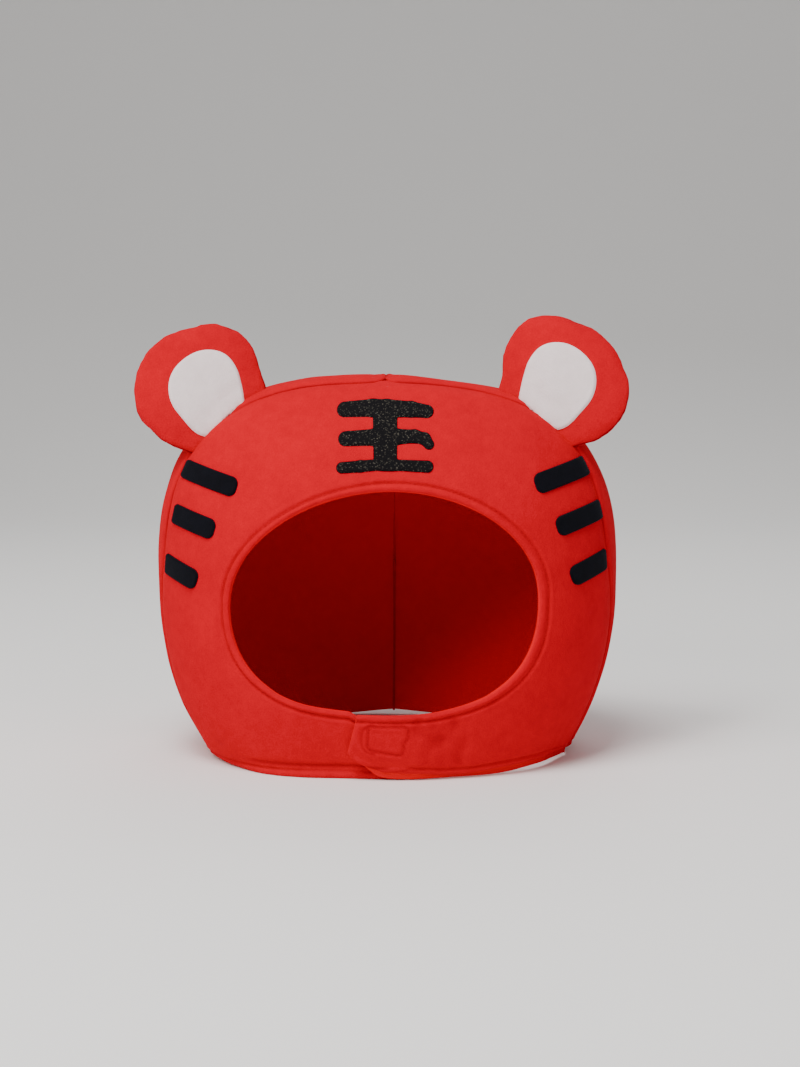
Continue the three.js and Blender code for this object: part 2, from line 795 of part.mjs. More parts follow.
function tigerHat() {
  const hat = new THREE.Group();
  const add = (name, geometry, material) => hat.add(meshOf(name, geometry, material));
  add("front_panel", frontPanel(0), materials.plush);
  add("crown_right", crownHalf(-1, 0), materials.plush);
  add("crown_left", crownHalf(1, 0), materials.plush);

  const grownPanel = solidOf(frontPanel(layGap));
  const hood = grownPanel
    .add(solidOf(crownHalf(-1, layGap)))
    .add(solidOf(crownHalf(1, layGap)))
    .add(formSolid(wall / 2));
  for (const ear of ears) {
    const frame = earFrame(ear);
    add(`ear_${ear.name}`, cutGeometry(earSolid(ear.side, frame), hood), materials.plush);
    add(`inner_ear_${ear.name}`, cutGeometry(innerEarSolid(ear.side, frame), hood), materials.white);
  }
  for (const row of stripes) {
    add(`stripe_${row.name}`, cutGeometry(stripe(row), grownPanel), materials.black);
  }
  add("forehead_mark", cutGeometry(foreheadMark(), grownPanel), materials.black);
  add("fastener_patch", fastener(), materials.fastener);
  return hat;
}

export default tigerHat();
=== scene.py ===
import math

import bpy
import numpy as np
from mathutils import Euler, Matrix, Vector, noise
from mathutils.bvhtree import BVHTree
from mathutils.kdtree import KDTree


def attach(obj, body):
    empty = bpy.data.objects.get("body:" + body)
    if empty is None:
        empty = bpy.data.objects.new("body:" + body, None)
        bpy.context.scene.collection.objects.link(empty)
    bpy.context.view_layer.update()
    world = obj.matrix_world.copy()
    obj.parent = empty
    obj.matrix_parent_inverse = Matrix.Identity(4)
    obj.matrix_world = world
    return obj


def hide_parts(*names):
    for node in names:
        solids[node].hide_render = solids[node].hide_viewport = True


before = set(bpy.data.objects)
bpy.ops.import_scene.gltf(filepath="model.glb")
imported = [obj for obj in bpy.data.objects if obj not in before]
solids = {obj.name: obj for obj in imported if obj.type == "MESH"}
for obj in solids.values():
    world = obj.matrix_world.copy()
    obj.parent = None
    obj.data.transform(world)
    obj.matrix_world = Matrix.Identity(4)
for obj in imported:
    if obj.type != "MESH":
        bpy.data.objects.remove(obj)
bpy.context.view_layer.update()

MM = 0.001

# The hood
stitch_inset = 4.4 * MM
stitch_pitch = 3.4 * MM
stitch_length = 2.4 * MM
thread_width = 0.42 * MM
valley_width = 0.9 * MM
shoulder_off = 2.4 * MM
shoulder_width = 1.4 * MM
seam_valley_width = 1.2 * MM
tape_reach = 1.8 * MM
tape_inset = 0.5 * MM
tape_thickness = 2.2 * MM
face_width = 189 * MM
face_height = 134 * MM
face_centre = Vector((0, 0, 108 * MM))
face_across = 1.5 * MM
brow_lean = 0.075
brow_roundness = 1.95
jaw_roundness = 2.6
crown_middle = 120 * MM
least_radius = 90 * MM
under_layer_drop = 3.2 * MM
line_step = 0.7 * MM

# Rows of stitches: how deep their valley is in millimetres, and how much painted shade darkens the pile
# in it
valleys = {
    "opening": (0.5, 0.28),
    "hem": (0.35, 0.25),
    "closure": (0.42, 0.36),
    "closure_outer": (0.32, 0.32),
}
# Corners of the box sewn through the strap's end, and of the wider one on its wearer's right
closure_corners = ((17.2, 34.2), (-7.2, 34.0), (-7.8, 19.4), (13.5, 15.9), (14.2, 23.6), (16.9, 26.6))
closure_outer_corners = ((17, 35.2), (-10.9, 34.6), (-11.2, 17.6), (17, 14.4))

# The ears: centre, lean from upright in degrees, and the side that they stand on
ear_places = {
    "right": (Vector((-116.76, -42.3, 236.05)) * MM, 46, -1),
    "left": (Vector((113.17, -42.2, 240.29)) * MM, 48, 1),
}
ear_turn_in = 14
ear_lean_back = 4
ear_voxel = 2.6 * MM
ear_pressure = 4
ear_swell = 2.6 * MM
ear_drop = 3.6 * MM
# The rim of each ear: degrees from its top, and how far out the rim lies there, in millimetres
ear_rims = {
    "right": (
        (-120, -90, -75, -60, -30, 0, 20, 40, 60, 80, 95, 110, 125),
        (42.0, 41.7, 42.9, 42.4, 40.6, 38.8, 38.2, 39.2, 42.0, 43.0, 42.0, 40.2, 39.3),
    ),
    "left": (
        (-120, -105, -90, -75, -60, -45, -30, 0, 30, 45, 60, 75, 90, 110),
        (42.4, 44.2, 45.7, 45.8, 43.0, 39.5, 36.9, 35.4, 36.6, 39.4, 41.2, 42.4, 43.1, 43.3),
    ),
}


# Working on a mesh


def deselect():
    if bpy.context.object and bpy.context.object.mode != "OBJECT":
        bpy.ops.object.mode_set(mode="OBJECT")
    bpy.ops.object.select_all(action="DESELECT")


def pick(piece):
    deselect()
    piece.select_set(True)
    bpy.context.view_layer.objects.active = piece


def finish_with(piece, kind, **settings):
    pick(piece)
    modifier = piece.modifiers.new(kind.title(), kind)
    for key, value in settings.items():
        setattr(modifier, key, value)
    bpy.ops.object.modifier_apply(modifier=modifier.name)


def soften(piece, levels):
    finish_with(piece, "SUBSURF", levels=levels, render_levels=levels)


def points(piece):
    flat = np.empty(len(piece.data.vertices) * 3)
    piece.data.vertices.foreach_get("co", flat)
    return flat.reshape(-1, 3)


def move_points(piece, where):
    piece.data.vertices.foreach_set("co", np.asarray(where, float).ravel())
    piece.data.update()


def normals(piece):
    flat = np.empty(len(piece.data.vertices) * 3)
    piece.data.vertex_normals.foreach_get("vector", flat)
    return flat.reshape(-1, 3)


def tree_of(*pieces):
    places, faces = [], []
    for piece in pieces:
        first = len(places)
        places += [v.co.copy() for v in piece.data.vertices]
        faces += [[first + i for i in f.vertices] for f in piece.data.polygons]
    return BVHTree.FromPolygons(places, faces)


def cloth_copy(node, name):
    """A copy of a CAD node as one smooth skin of four-sided faces."""
    piece = bpy.data.objects.new(name, solids[node].data.copy())
    bpy.context.scene.collection.objects.link(piece)
    piece.data.materials.clear()
    pick(piece)
    bpy.ops.mesh.customdata_custom_splitnormals_clear()
    bpy.ops.object.mode_set(mode="EDIT")
    bpy.ops.mesh.select_all(action="SELECT")
    bpy.ops.mesh.remove_doubles(threshold=0.01 * MM)
    bpy.ops.mesh.tris_convert_to_quads(face_threshold=math.pi, shape_threshold=math.pi)
    bpy.ops.object.mode_set(mode="OBJECT")
    bpy.ops.object.shade_smooth()
    return piece


def ripple(where, size, seed):
    """Smooth noise between about -1 and 1, with bumps of one size."""
    shift = Vector((seed * 7.3, seed * 3.1, seed * 5.7))
    return np.array([noise.noise(Vector(p) / size + shift) for p in where])


def smoothstep(share):
    share = np.clip(share, 0, 1)
    return share * share * (3 - 2 * share)


def between(values, start, end):
    """Rises softly from 0 at the start to 1 at the end, which may be the lower of the two."""
    return smoothstep((values - start) / (end - start))


def bell(off, width):
    """A soft bump, 1 where the distance is 0."""
    return np.exp(-((off / width) ** 2))


def keep_attribute(piece, name, values):
    kept = piece.data.attributes.new(name, "FLOAT", "POINT")
    kept.data.foreach_set("value", values.astype(np.float32))


def distances(where, line):
    """How far each place is from a line of close points."""
    tree = KDTree(len(line))
    for i, p in enumerate(line):
        tree.insert(p, i)
    tree.balance()
    return np.array([tree.find(p)[2] for p in where])


# Lines sewn on the hood


def opening_radius(turn):
    low, high = 0.0, face_width
    for _ in range(30):
        radius = (low + high) / 2
        x, up = -radius * math.sin(turn), -radius * math.cos(turn)
        across = x - face_across - brow_lean * max(0, up)
        power = jaw_roundness if up < 0 else brow_roundness
        inside = abs(2 * across / face_width) ** power + abs(2 * up / face_height) ** power < 1
        low, high = (radius, high) if inside else (low, radius)
    return low


def from_front(tree, x, z):
    """The outermost place of a surface in the front view."""
    return tree.ray_cast(Vector((x, -1, z)), Vector((0, 1, 0)))[0]


def even(line, step, closed=False):
    """The same line in even steps."""
    line = [Vector(p) for p in line]
    if closed:
        line.append(line[0].copy())
    lengths = np.concatenate([[0], np.cumsum([(b - a).length for a, b in zip(line, line[1:])])])
    count = max(2, round(lengths[-1] / step))
    marks = np.linspace(0, lengths[-1], count + 1)
    flat = np.array(line)
    return [Vector(p) for p in zip(*(np.interp(marks, lengths, flat[:, k]) for k in range(3)))]


def opening_line(tree):
    """Round the opening, a little nearer its edge on the wearer's right."""
    line = []
    for i in range(720):
        turn = math.tau * i / 720
        radius = opening_radius(turn) + stitch_inset - 0.8 * MM * math.sin(turn)
        found = from_front(tree, -radius * math.sin(turn), face_centre.z - radius * math.cos(turn))
        if found:
            line.append(found)
    return even(line, line_step, closed=True)


def hem_line(tree, pieces, up):
    """Round the hem, a little above its lowest points."""
    where = np.concatenate([points(piece) for piece in pieces])
    low = where[where[:, 2] < 16 * MM]
    turns = np.degrees(np.arctan2(low[:, 0], -low[:, 1]))
    line = []
    for degrees in np.arange(-180, 180, 0.5):
        off = np.abs((turns - degrees + 180) % 360 - 180)
        height = low[off < 2.5][:, 2].min() + up
        way = Vector((-math.sin(math.radians(degrees)), math.cos(math.radians(degrees)), 0))
        hit = tree.ray_cast(-0.4 * way + Vector((0, 0, height)), way)[0]
        if hit and hit.xy.length > least_radius:
            line.append(hit)
    return even(line, line_step, closed=True)


def sewn_box(tree, corners, rounding):
    """A closed line with rounded corners sewn through the strap's end, in the front view."""
    line = []
    for i, corner in enumerate(corners):
        at = Vector(corner)
        before = Vector(corners[i - 1]) - at
        after = Vector(corners[(i + 1) % len(corners)]) - at
        before *= min(rounding / before.length, 0.45)
        after *= min(rounding / after.length, 0.45)
        for share in np.linspace(0, 1, 7):
            x, z = (at + before * (1 - share) ** 2 + after * share**2) * MM
            line.append(from_front(tree, x, z))
    return even(line, line_step, closed=True)


# The hood's three padded pieces

panel = cloth_copy("front_panel", "front_panel_plush")
crown_right = cloth_copy("crown_right", "crown_right_plush")
crown_left = cloth_copy("crown_left", "crown_left_plush")
hood = [panel, crown_right, crown_left]


def seam_tape(name, piece, neighbours):
    """The turned-in cloth between two pieces, which closes the seam under its valley."""
    near = tree_of(*neighbours)
    tape = bpy.data.objects.new(name, piece.data.copy())
    bpy.context.scene.collection.objects.link(tape)
    touching = [near.find_nearest(p)[3] for p in points(tape)]
    pick(tape)
    bpy.ops.object.mode_set(mode="EDIT")
    bpy.ops.mesh.select_all(action="DESELECT")
    bpy.ops.object.mode_set(mode="OBJECT")
    for face in tape.data.polygons:
        face.select = max(touching[i] for i in face.vertices) > tape_reach
    bpy.ops.object.mode_set(mode="EDIT")
    bpy.ops.mesh.select_mode(type="FACE")
    bpy.ops.mesh.delete(type="FACE")
    bpy.ops.mesh.select_all(action="SELECT")
    bpy.ops.mesh.inset(thickness=tape_inset)
    bpy.ops.mesh.select_all(action="INVERT")
    bpy.ops.mesh.delete(type="FACE")
    bpy.ops.object.mode_set(mode="OBJECT")
    soften(tape, 2)
    move_points(tape, points(tape) + 0.3 * MM * normals(tape))
    finish_with(tape, "SOLIDIFY", thickness=tape_thickness, offset=0)
    return tape


centre_tape = seam_tape("centre_seam_tape", crown_left, [crown_right])

for piece in hood:
    soften(piece, 3)

hood_tree = tree_of(*hood)
panel_tree = tree_of(panel)

lines = {
    "opening": opening_line(panel_tree),
    "hem": hem_line(hood_tree, hood, stitch_inset),
    "closure": sewn_box(panel_tree, closure_corners, 3.6),
    "closure_outer": [p for p in sewn_box(panel_tree, closure_outer_corners, 7) if p.x < -3.5 * MM],
}


def sewn_relief(where, seam):
    """How far stitches and seams move the cloth in or out, and how much painted shade darkens their
    valleys.
    """
    pucker = ripple(where, 7 * MM, 3)
    uneven = 1 + 0.4 * pucker
    rise, shade = np.zeros(len(where)), np.zeros(len(where))
    for key, (deep, dark) in valleys.items():
        off = distances(where, lines[key])
        valley = bell(off, valley_width)
        shoulder = bell(off - shoulder_off, shoulder_width)
        rise += deep * MM * (0.5 * shoulder - valley) * uneven
        # Painted shade in this row's valley.
        shade = np.maximum(shade, valley * dark)
    # Painted shade along the seams between the pieces.
    shade = np.maximum(shade, 0.7 * bell(seam, seam_valley_width))
    return rise, shade, 0.2 * MM * pucker * np.exp(-seam / (6 * MM))


def strap_relief(where, seam):
    """The same, painted shade included, for what only the front panel has."""
    x, y, z = (where / MM).T
    front = y < 0
    # The wearer's right strap end turns its hem band up towards the front.
    roll = front * between(x, -92, -70) * between(x, 8, 0)
    rise = roll * (2.4 * bell(z - 2, 2.8) - 0.9 * bell(z - 7.6, 1.3))
    # Painted shade in the crease above the rolled band.
    shade = 0.4 * roll * bell(z - 7.6, 1.2)
    # The tape behind the strap's other end makes the cloth over it rumple.
    rumple = front * between(x, 14, 22) * between(x, 66, 46) * between(z, 6, 11) * between(z, 44, 36)
    folds = ripple(where * (1, 1, 0.6), 7 * MM, 4)
    rise += 1.0 * rumple * folds
    # Painted shade in the hollows of the folds.
    shade = np.maximum(shade, 0.4 * rumple * np.clip(-folds, 0, 1))
    # The panel's top edge covers the place where the three pieces meet.
    tip = 2.2 * between(z, 222, 230) * bell(x, 8) * np.exp(-seam / (3 * MM))
    return rise * MM, shade, tip * MM


def work_cloth(piece, others):
    """Soft unevenness, stitched valleys with their painted shade, puckered seams, the strap's rolled
    hem and the hung lining.
    """
    where, out = points(piece), normals(piece)
    x, y, z = (where / MM).T
    centre = where.copy()
    centre[:, :2] = 0
    centre[:, 2] = np.minimum(centre[:, 2], crown_middle)
    away = where - centre
    away /= np.linalg.norm(away, axis=1)[:, None]
    facing = np.sum(out * away, axis=1)
    outside = between(facing, 0.1, 0.5)
    near = tree_of(*others)
    found = [near.find_nearest(p) for p in where]
    seam = np.array([hit[3] for hit in found])
    towards = np.array([hit[0] for hit in found]) - where

    relief, shade, puckers = sewn_relief(where, seam)
    rise = 0.8 * MM * ripple(where, 58 * MM, 1) + 0.25 * MM * ripple(where, 21 * MM, 2)
    rise += puckers + outside * relief
    if piece is panel:
        relief, dark, tip = strap_relief(where, seam)
        rise += outside * relief + tip
        shade = np.maximum(shade, dark)
    else:
        # Both halves of the crown are drawn level where the centre seam runs over its top.
        rise += 1.5 * MM * outside * between(z, 200, 230) * between(y, 10, -20) * bell(x, 3.4)
    # Under the valleys the pieces are pressed together.
    pressed = (1 - outside) * between(seam, 3 * MM, 2 * MM)
    pressed *= 0.65 + 0.25 * MM / np.maximum(seam, 0.1 * MM)
    way = np.where(outside[:, None] > 0.5, out, away)
    where = where + rise[:, None] * way + pressed[:, None] * towards

    x, y, z = (where / MM).T
    if piece is panel:
        # The strap's lower layer stays below the top of the layer that lies on it.
        under = (y < -100) & (y > -112.7) & (x < 20) & (z < 60)
        where[:, 2] -= under_layer_drop * under * between(x, -20, -12) * between(z, 30, 40)
        z = where[:, 2] / MM
    # In front, the lining hangs lower than the hem, so that no light comes under it.
    hanging = between(facing, 0, -0.6) * between(z, 10, 4) * between(y, 50, -10)
    where[:, 2] -= hanging * np.maximum(0, where[:, 2] - 0.4 * MM)
    where[:, 2] = np.maximum(where[:, 2], 0)
    move_points(piece, where)
    # Painted shade in the valleys, seams and folds, which darkens the cloth's colour.
    keep_attribute(piece, "valley", shade * outside)
    keep_attribute(piece, "lining", 1 - outside)


for piece in hood:
    work_cloth(piece, [other for other in hood if other is not piece])

panel_tree = tree_of(panel)
hood_tree = tree_of(*hood)


def seam_crossing():
    """The bunched turnings where the three seams meet at the top, which close the corner."""
    deselect()
    bpy.ops.mesh.primitive_uv_sphere_add(segments=32, ring_count=16, radius=1, location=(0, 0, 0))
    bunch = bpy.context.object
    bunch.name = "seam_crossing"
    pick(bunch)
    bpy.ops.object.mode_set(mode="EDIT")
    bpy.ops.mesh.select_all(action="SELECT")
    bpy.ops.transform.resize(value=(10 * MM, 7 * MM, 2.2 * MM))
    bpy.ops.object.mode_set(mode="OBJECT")
    where = points(panel)
    top = where[(np.abs(where[:, 0]) < 3 * MM) & (where[:, 2] > 0.2)]
    corner = Vector(top[top[:, 1].argmax()])
    outwards = (corner - Vector((0, 0, crown_middle))).normalized()
    turn = Vector((0, 0, 1)).rotation_difference(outwards).to_matrix().to_4x4()
    bunch.data.transform(Matrix.Translation(corner) @ turn)
    where = points(bunch)
    move_points(bunch, where + 0.3 * MM * ripple(where, 3 * MM, 7)[:, None] * normals(bunch))
    bpy.ops.object.shade_smooth()
    return bunch


crossing = seam_crossing()


# Thread


def sewn_row(name, line, tree):
    """Stitches in a row: one is modelled, and the others are its copies, joined as one thread."""
    deselect()
    bpy.ops.mesh.primitive_uv_sphere_add(segments=6, ring_count=4, radius=0.5, location=(0, 0, 0))
    stitch = bpy.context.object
    pick(stitch)
    bpy.ops.object.mode_set(mode="EDIT")
    bpy.ops.mesh.select_all(action="SELECT")
    bpy.ops.transform.rotate(value=math.pi / 2, orient_axis="Y", center_override=(0, 0, 0))
    bpy.ops.transform.resize(value=(stitch_length, thread_width, thread_width))
    bpy.ops.object.mode_set(mode="OBJECT")
    bpy.ops.object.shade_smooth()
    steps = even(line, stitch_pitch)
    row = []
    for here, there in zip(steps, steps[1:]):
        middle, normal, _, _ = tree.find_nearest((here + there) / 2)
        along = (there - here).normalized()
        side = normal.cross(along).normalized()
        up = along.cross(side)
        turn = Matrix((along, side, up)).transposed().to_4x4()
        copy = bpy.data.objects.new(name, stitch.data.copy())
        bpy.context.scene.collection.objects.link(copy)
        copy.data.transform(Matrix.Translation(middle + up * 0.05 * MM) @ turn)
        row.append(copy)
    bpy.data.objects.remove(stitch)
    deselect()
    for copy in row:
        copy.select_set(True)
    bpy.context.view_layer.objects.active = row[0]
    bpy.ops.object.join()
    row[0].name = name
    return row[0]


threads = [
    sewn_row("opening_stitches", lines["opening"], panel_tree),
    sewn_row("closure_stitches", lines["closure"], panel_tree),
]


# Ears


def ear_frame(name):
    """From an ear's own frame, which faces -Y and stands along +Z, to the hat's."""
    centre, lean, side = ear_places[name]
    turn = (
        Matrix.Rotation(math.radians(side * lean), 4, "Y")
        @ Matrix.Rotation(math.radians(-ear_lean_back), 4, "X")
        @ Matrix.Rotation(math.radians(-side * ear_turn_in), 4, "Z")
    )
    return Matrix.Translation(centre) @ turn


def seen_in(matrix, where):
    back = np.array(matrix.inverted())
    return where @ back[:3, :3].T + back[:3, 3]


def stuff(ear, held_by):
    """Blows the ear up under pressure, sewn down at its base, as stuffing would."""
    start = points(ear)
    held = ear.vertex_groups.new(name="sewn_down")
    for i, gap in enumerate(held_by):
        held.add([i], float(np.clip(1.4 - gap / (3 * MM), 0, 1)), "REPLACE")
    cloth = ear.modifiers.new("Stuffing", "CLOTH")
    cloth.settings.use_pressure = True
    cloth.settings.uniform_pressure_force = ear_pressure
    cloth.settings.effector_weights.gravity = 0
    cloth.settings.vertex_group_mass = "sewn_down"
    cloth.settings.quality = 6
    for step in range(1, 21):
        bpy.context.scene.frame_set(step)
    pick(ear)
    bpy.ops.object.modifier_apply(modifier=cloth.name)
    bpy.context.scene.frame_set(1)
    moved = points(ear) - start
    reach = np.linalg.norm(moved, axis=1)
    move_points(ear, start + moved * np.minimum(1, ear_swell / np.maximum(reach, 1e-9))[:, None])


def draw_to_outline(ear, name, held_by):
    """Brings the rim to its outline, and the base down into the crown, where no gap may show."""
    matrix = ear_frame(name)
    local = seen_in(matrix, points(ear))
    turns = np.degrees(np.arctan2(local[:, 0], local[:, 2]))
    reach = np.hypot(local[:, 0], local[:, 2])
    marks = np.arange(-180, 180, 10)
    rim_now = [reach[np.abs((turns - mark + 180) % 360 - 180) < 8].max() for mark in marks]
    free = between(held_by, 2 * MM, 11 * MM) * between(np.abs(turns), 140, 116)
    wanted = (np.interp(turns, *ear_rims[name]) + 0.3) * MM
    grow = 1 + free * (wanted / np.interp(turns, marks, rim_now, period=360) - 1)
    local[:, 0] *= grow
    local[:, 2] *= grow
    local[:, 2] -= ear_drop * (1 - between(held_by, 0, 9 * MM))
    placed = np.array(matrix)
    move_points(ear, local @ placed[:3, :3].T + placed[:3, 3])


def stuffed_ear(name):
    """Two discs of plush sewn at the rim, turned and stuffed until they are tight."""
    ear = cloth_copy(f"ear_{name}", f"ear_{name}_plush")
    pick(ear)
    ear.data.remesh_voxel_size = ear_voxel
    bpy.ops.object.voxel_remesh()
    held_by = np.array([hood_tree.find_nearest(p)[3] for p in points(ear)])
    stuff(ear, held_by)
    finish_with(ear, "SMOOTH", factor=0.5, iterations=6)
    draw_to_outline(ear, name, held_by)
    soften(ear, 2)
    where, out = points(ear), normals(ear)
    local = seen_in(ear_frame(name), where)
    rim = between(np.hypot(local[:, 0], local[:, 2]), 32 * MM, 36 * MM)
    seam = rim * bell(local[:, 1] + 0.5 * MM, valley_width)
    rise = 0.1 * rim * ripple(where, 7 * MM, 5) + 0.3 * ripple(where, 26 * MM, 6) - 0.9 * seam
    move_points(ear, where + rise[:, None] * MM * out)
    # Painted shade in the valley of the rim's seam.
    keep_attribute(ear, "valley", seam)
    pick(ear)
    bpy.ops.object.shade_smooth()
    return ear


ears = {name: stuffed_ear(name) for name in ear_places}


# Cloth laid on cloth


def laid(name, matrix, tree, span, cell, inside, thick, edge):
    """A flat piece cut to an outline and sewn on: its turned edge dips under the cloth below."""
    width, height = span[1] - span[0], span[3] - span[2]
    deselect()
    bpy.ops.mesh.primitive_grid_add(
        x_subdivisions=round(width / cell),
        y_subdivisions=round(height / cell),
        size=1,
        location=(0, 0, 0),
    )
    piece = bpy.context.object
    piece.name = name
    pick(piece)
    bpy.ops.object.mode_set(mode="EDIT")
    bpy.ops.mesh.select_all(action="SELECT")
    bpy.ops.transform.resize(value=(width, height, 1))
    bpy.ops.transform.translate(value=((span[0] + span[1]) / 2, (span[2] + span[3]) / 2, 0))
    bpy.ops.object.mode_set(mode="OBJECT")
    depth = inside(points(piece)[:, :2])
    for face in piece.data.polygons:
        face.select = max(depth[i] for i in face.vertices) < -edge - 1.5 * cell
    bpy.ops.object.mode_set(mode="EDIT")
    bpy.ops.mesh.select_mode(type="FACE")
    bpy.ops.mesh.delete(type="FACE")
    bpy.ops.object.mode_set(mode="OBJECT")
    flat = points(piece)[:, :2]
    lift = thick * (2 * smoothstep(inside(flat) / (2 * edge) + 0.5) - 1)
    way = (matrix.to_3x3() @ Vector((0, 1, 0))).normalized()
    placed = []
    for (x, z), high in zip(flat, lift):
        start = matrix @ Vector((x, -0.2, z))
        hit, normal, _, _ = tree.ray_cast(start, way)
        if hit is None:
            hit, normal, _, _ = tree.find_nearest(matrix @ Vector((x, 0, z)))
            high = -thick
        placed.append(hit + normal * high)
    move_points(piece, placed)
    pick(piece)
    bpy.ops.object.mode_set(mode="EDIT")
    bpy.ops.mesh.select_all(action="SELECT")
    bpy.ops.mesh.flip_normals()
    bpy.ops.object.mode_set(mode="OBJECT")
    finish_with(piece, "SOLIDIFY", thickness=0.5 * MM, offset=-1)
    bpy.ops.object.shade_smooth()
    return piece


def closed_outline(shares, radius, side, centre):
    """How far a flat place lies inside a smooth closed outline."""

    def inside(flat):
        x, z = (flat[:, 0] - centre[0]), (flat[:, 1] - centre[1])
        count = len(shares)
        turns = (np.arctan2(side * x, z) / math.tau * count) % count
        first = np.floor(turns).astype(int)
        t = turns - first
        a, b, c, d = (np.array(shares)[(first + step) % count] for step in (-1, 0, 1, 2))
        share = b + 0.5 * t * (c - a + t * (2 * a - 5 * b + 4 * c - d + t * (3 * (b - c) + d - a)))
        return radius * share - np.hypot(x, z)

    return inside


def strokes(paths, blend=1.2 * MM):
    """How far a flat place lies inside a shape drawn with round-ended strokes of changing width."""

    def inside(flat):
        best = np.full(len(flat), -1.0)
        for path in paths:
            for (ax, az, ar), (bx, bz, br) in zip(path, path[1:]):
                a, b = np.array([ax, az]) * MM, np.array([bx, bz]) * MM
                along = b - a
                share = np.clip((flat - a) @ along / (along @ along), 0, 1)
                off = np.linalg.norm(flat - a - share[:, None] * along, axis=1)
                reach = (ar + (br - ar) * share) * MM - off
                mix = np.clip(0.5 + 0.5 * (best - reach) / blend, 0, 1)
                best = best * mix + reach * (1 - mix) + blend * mix * (1 - mix)
        return best

    return inside


inner_ear_outline = [1.125, 1.2, 1.2, 1.17, 1.3, 1.24, 1.08, 0.8, 0.72, 0.81, 0.98, 1.07]
patches = []
for name, (_, _, side) in ear_places.items():
    middle = (-side * 4.4 * MM, -8.6 * MM)
    patches.append(
        laid(
            f"inner_ear_{name}_plush",
            ear_frame(name),
            tree_of(ears[name]),
            (-0.034, 0.034, -0.042, 0.026),
            cell=0.55 * MM,
            inside=closed_outline(inner_ear_outline, 23 * MM, side, middle),
            thick=0.75 * MM,
            edge=1.0 * MM,
        )
    )

# The forehead mark's strokes in the front view: across, up and half of their width, in millimetres.
top_bar = [
    (-23.3, 222.4, 4.2), (-6.1, 223.3, 4.9), (2.5, 223.0, 5.0), (17.3, 222.5, 4.3), (27.1, 221.2, 3.5),
]
middle_bar = [(-21.8, 205.2, 4.0), (-4.1, 206.1, 4.5), (8.5, 206.4, 4.3), (19.7, 206.7, 3.5)]
middle_tip = [(19.7, 206.7, 3.5), (25.9, 205.3, 3.1), (28.6, 201.9, 2.6)]
low_bar = [
    (-23.5, 188.2, 2.9), (-12.3, 189.1, 3.0), (0.2, 190.2, 2.9), (8.7, 189.9, 2.8), (27.8, 189.0, 3.1),
]
stem = [
    [(-1.3, 219.6, 4.0), (-0.3, 191.0, 3.6)],
    [(4.3, 219.6, 4.3), (6.0, 190.0, 3.2)],
    [(2.3, 219.0, 5.5), (2.7, 191.8, 5.0)],
]
upright = Matrix.Identity(4)
mark = laid(
    "forehead_mark_cloth",
    upright,
    panel_tree,
    (-0.031, 0.036, 0.180, 0.232),
    cell=0.45 * MM,
    inside=strokes([top_bar, middle_bar, middle_tip, low_bar, *stem]),
    thick=0.8 * MM,
    edge=0.55 * MM,
)


def felt_strip(x, z, side, slope, length, half, slant, outer=1.6 * MM, inner=4.2 * MM):
    """How far a flat place lies inside a stripe: square-ended at the seam, and round-ended inwards."""
    run = np.array([-side * math.cos(math.radians(slope)), -math.sin(math.radians(slope))])
    rise = np.array([side * run[1], -side * run[0]])

    def inside(flat):
        off = flat - np.array([x, z])
        across = off @ rise
        along = off @ run - length / 2
        along = np.where(along < 0, slant * across - along, along)
        corner = np.where(off @ run < length / 2, outer, inner)
        u, v = along - (length / 2 - corner), np.abs(across) - (half - corner)
        return corner - np.hypot(np.maximum(u, 0), np.maximum(v, 0)) - np.minimum(np.maximum(u, v), 0)

    return inside


# Cheek stripes in the front view, in millimetres: where the middle of the outer end lies, which side,
# the slope in degrees, length, half of the width, and how much the outer end slants per width.
stripe_rows = {
    "right_upper": (-124.4, 185.3, -1, 15.7, 37.6, 5.5, 0.14),
    "right_middle": (-130.2, 157.6, -1, 16.3, 29.5, 5.8, -0.06),
    "right_lower": (-136.3, 125.9, -1, 19.9, 24.1, 6.0, -0.25),
    "left_upper": (125.6, 187.7, 1, 17.6, 34.2, 5.8, 0.1),
    "left_middle": (134.3, 160.5, 1, 17.9, 29.6, 5.7, -0.06),
    "left_lower": (137.7, 129.5, 1, 21.4, 24.1, 6.0, -0.3),
}
stripes = {}
for name, (x, z, side, slope, length, half, slant) in stripe_rows.items():
    far = x - side * length
    stripes[name] = laid(
        f"stripe_{name}_felt",
        upright,
        panel_tree,
        ((min(x, far) - 4) * MM, (max(x, far) + 4) * MM, (z - 0.4 * length - 8) * MM, (z + 9) * MM),
        cell=0.35 * MM,
        inside=felt_strip(x * MM, z * MM, side, slope, length * MM, half * MM, slant),
        thick=1.0 * MM,
        edge=0.5 * MM,
    )


# Materials


def linear(hex_colour):
    parts = [int(hex_colour[i : i + 2], 16) / 255 for i in (1, 3, 5)]
    return tuple(c / 12.92 if c <= 0.04045 else ((c + 0.055) / 1.055) ** 2.4 for c in parts) + (1.0,)


def node(tree, kind, links=None, **settings):
    made = tree.nodes.new(kind)
    for key, value in settings.items():
        if hasattr(made, key):
            setattr(made, key, value)
        else:
            made.inputs[key].default_value = value
    for key, source in (links or {}).items():
        tree.links.new(source, made.inputs[key])
    return made


def mixed_colour(tree, factor, first, second):
    """From the first colour, which may be another node's, to the second one."""
    links, settings = {"Factor": factor}, {"B": linear(second)}
    if isinstance(first, str):
        settings["A"] = linear(first)
    else:
        links["A"] = first
    return node(tree, "ShaderNodeMix", links, data_type="RGBA", **settings).outputs["Result"]


def new_material(name):
    material = bpy.data.materials.new(name)
    material.use_nodes = True
    material.node_tree.nodes.clear()
    return material, material.node_tree


def finish_material(tree, sources, **settings):
    shader = node(tree, "ShaderNodeBsdfPrincipled", sources, **settings)
    node(tree, "ShaderNodeOutputMaterial", {"Surface": shader.outputs[0]})


